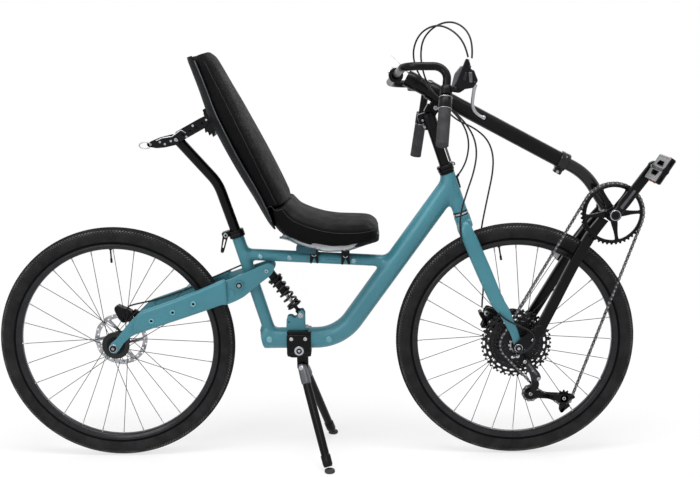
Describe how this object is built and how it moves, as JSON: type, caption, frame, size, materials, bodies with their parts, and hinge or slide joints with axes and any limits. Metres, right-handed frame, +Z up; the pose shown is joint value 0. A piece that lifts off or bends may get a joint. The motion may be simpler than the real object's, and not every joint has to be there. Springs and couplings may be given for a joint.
{
  "type": "recumbent bicycle",
  "caption": "Front-wheel-drive recumbent bicycle with a rear swingarm, reclined seat, boom with cranks and a two-legged centre stand.",
  "frame": {"origin": "on the floor, under the middle of the whole bicycle's bounding box", "axes": "+X forward, +Y to the rider's left, +Z up"},
  "size_m": [1.9245, 0.5438, 1.2734],
  "materials": {
    "frame_paint": "satin",
    "black_paint": "satin",
    "tyre_rubber": "matte",
    "rim_black": "satin",
    "bright_steel": "bright",
    "black_alloy": "satin",
    "spring_black": "gloss",
    "cog_steel": "satin",
    "cushion": "matte",
    "shell": "gloss",
    "grip_rubber": "matte",
    "lever_alloy": "satin",
    "cable_black": "satin"
  },
  "bodies": {
    "frame": {"back_cushion": "cushion", "back_shell": "shell", "base_cushion": "cushion", "head_tube": "frame_paint", "headset_cups": "black_paint", "main_tube": "frame_paint", "pivot_bolt": "bright_steel", "rear_axle": "bright_steel", "rear_brake_line": "cable_black", "rear_caliper": "black_alloy", "recline_bracket": "black_paint", "seat_clamps": "black_paint", "seat_pan": "shell", "seat_post": "black_paint", "seat_post_clamp": "black_paint", "shock_damper": "black_alloy", "shock_mount": "frame_paint", "shock_spring": "spring_black", "stand_bracket": "black_paint", "swingarm_left": "frame_paint", "swingarm_right": "frame_paint", "top_tube": "frame_paint", "upright_tube": "frame_paint"},
    "front_end": {"bar_clamp": "black_paint", "boom": "black_paint", "boom_clamp": "black_paint", "boom_collar": "black_paint", "boom_extension": "black_paint", "brake_levers": "lever_alloy", "chain": "cog_steel", "chainstays": "black_paint", "derailleur": "black_alloy", "fork": "frame_paint", "front_axle": "bright_steel", "front_brake_cable": "cable_black", "front_caliper": "black_alloy", "grips": "grip_rubber", "handlebar": "black_paint", "rear_brake_cable": "cable_black", "riser_tube": "black_paint", "shift_cable": "cable_black", "stem": "black_paint"},
    "front_wheel": {"front_tyre": "tyre_rubber", "front_rim": "rim_black", "front_spokes": "bright_steel", "front_hub": "black_alloy", "front_rotor": "bright_steel", "cassette": "cog_steel"},
    "rear_wheel": {"rear_tyre": "tyre_rubber", "rear_rim": "rim_black", "rear_spokes": "bright_steel", "rear_hub": "black_alloy", "rear_rotor": "bright_steel"},
    "crank": {"chainring": "black_alloy", "crank_left": "black_paint", "crank_right": "black_paint"},
    "pedal_right": {"pedal_right": "black_alloy"},
    "pedal_left": {"pedal_left": "black_alloy"},
    "stand_left": {"stand_leg_left": "black_paint"},
    "stand_right": {"stand_leg_right": "black_paint"}
  },
  "joints": [
    {"name": "steering", "type": "hinge", "parent": "frame", "child": "front_end", "pos_m": [0.40015, 0.02742, 0.7308], "axis": [-0.3192, 0, 0.9477], "range_deg": [-35, 35]},
    {"name": "front_wheel_spin", "type": "hinge", "parent": "front_end", "child": "front_wheel", "pos_m": [0.56085, 0.02742, 0.351], "axis": [0, 1, 0], "continuous": true},
    {"name": "rear_wheel_spin", "type": "hinge", "parent": "frame", "child": "rear_wheel", "pos_m": [-0.61915, 0.02742, 0.351], "axis": [0, 1, 0], "continuous": true},
    {"name": "crank_spin", "type": "hinge", "parent": "front_end", "child": "crank", "pos_m": [0.82585, 0.02742, 0.735], "axis": [0, 1, 0], "continuous": true},
    {"name": "pedal_right_spin", "type": "hinge", "parent": "crank", "child": "pedal_right", "pos_m": [0.92673, -0.11258, 0.87183], "axis": [0, 1, 0], "continuous": true},
    {"name": "pedal_left_spin", "type": "hinge", "parent": "crank", "child": "pedal_left", "pos_m": [0.72497, 0.16742, 0.59817], "axis": [0, 1, 0], "continuous": true},
    {"name": "stand_left_fold", "type": "hinge", "parent": "frame", "child": "stand_left", "pos_m": [-0.06815, 0.04742, 0.274], "axis": [0.1821, 0.8664, 0.4649], "range_deg": [0, 97.6]},
    {"name": "stand_right_fold", "type": "hinge", "parent": "frame", "child": "stand_right", "pos_m": [-0.06815, 0.00742, 0.274], "axis": [0.3898, 0.8713, -0.2982], "range_deg": [0, 95.41]}
  ],
  "couplings": [
    {"joint": "stand_right_fold", "follows": "stand_left_fold", "ratio": 0.97746}
  ]
}
